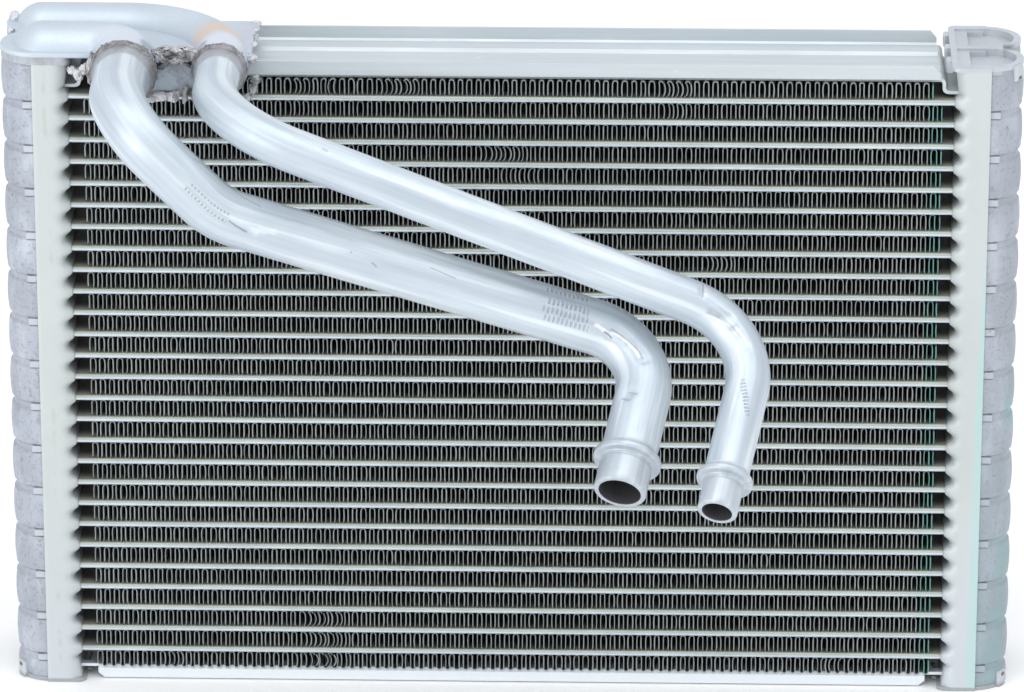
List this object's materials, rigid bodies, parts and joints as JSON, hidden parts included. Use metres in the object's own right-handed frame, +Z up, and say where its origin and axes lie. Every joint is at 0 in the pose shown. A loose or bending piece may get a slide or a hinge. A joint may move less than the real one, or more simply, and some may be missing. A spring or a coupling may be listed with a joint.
{
  "type": "evaporator core",
  "caption": "Brazed parallel-flow evaporator core for a vehicle air conditioner: flat tubes and corrugated fins between two upright headers, with two bent pipes from a duct at the top left.",
  "frame": {"origin": "centre of the whole part's bounding box, on the plane it stands on", "axes": "+X to the right across the core, seen from the side the pipes come from; +Y back through the core, so the pipes reach towards -Y; +Z up along the headers"},
  "size_m": [0.2946, 0.1424, 0.2028],
  "materials": {
    "header": "satin",
    "tank": "satin",
    "cap": "satin",
    "tube": "satin",
    "fin": "satin",
    "side_plate": "satin",
    "duct": "satin",
    "pipe": "brushed",
    "weld": "rough"
  },
  "bodies": {
    "root": {"left_header_plate": "header", "right_header_plate": "header", "left_tank_cover": "tank", "right_tank_cover": "tank", "right_top_cap": "cap", "right_bottom_cap": "cap", "left_bottom_cap": "cap", "front_baffle": "tank", "rear_baffle": "tank", "front_tube_row": "tube", "rear_tube_row": "tube", "top_side_plate": "side_plate", "bottom_side_plate": "side_plate", "duct_shell": "duct", "duct_base": "duct", "suction_pipe": "pipe", "liquid_pipe": "pipe", "suction_weld": "weld", "liquid_weld": "weld", "fin_01": "fin", "fin_02": "fin", "fin_03": "fin", "fin_04": "fin", "fin_05": "fin", "fin_06": "fin", "fin_07": "fin", "fin_08": "fin", "fin_09": "fin", "fin_10": "fin", "fin_11": "fin", "fin_12": "fin", "fin_13": "fin", "fin_14": "fin", "fin_15": "fin", "fin_16": "fin", "fin_17": "fin", "fin_18": "fin", "fin_19": "fin", "fin_20": "fin", "fin_21": "fin", "fin_22": "fin", "fin_23": "fin", "fin_24": "fin", "fin_25": "fin", "fin_26": "fin", "fin_27": "fin", "fin_28": "fin"}
  },
  "joints": []
}
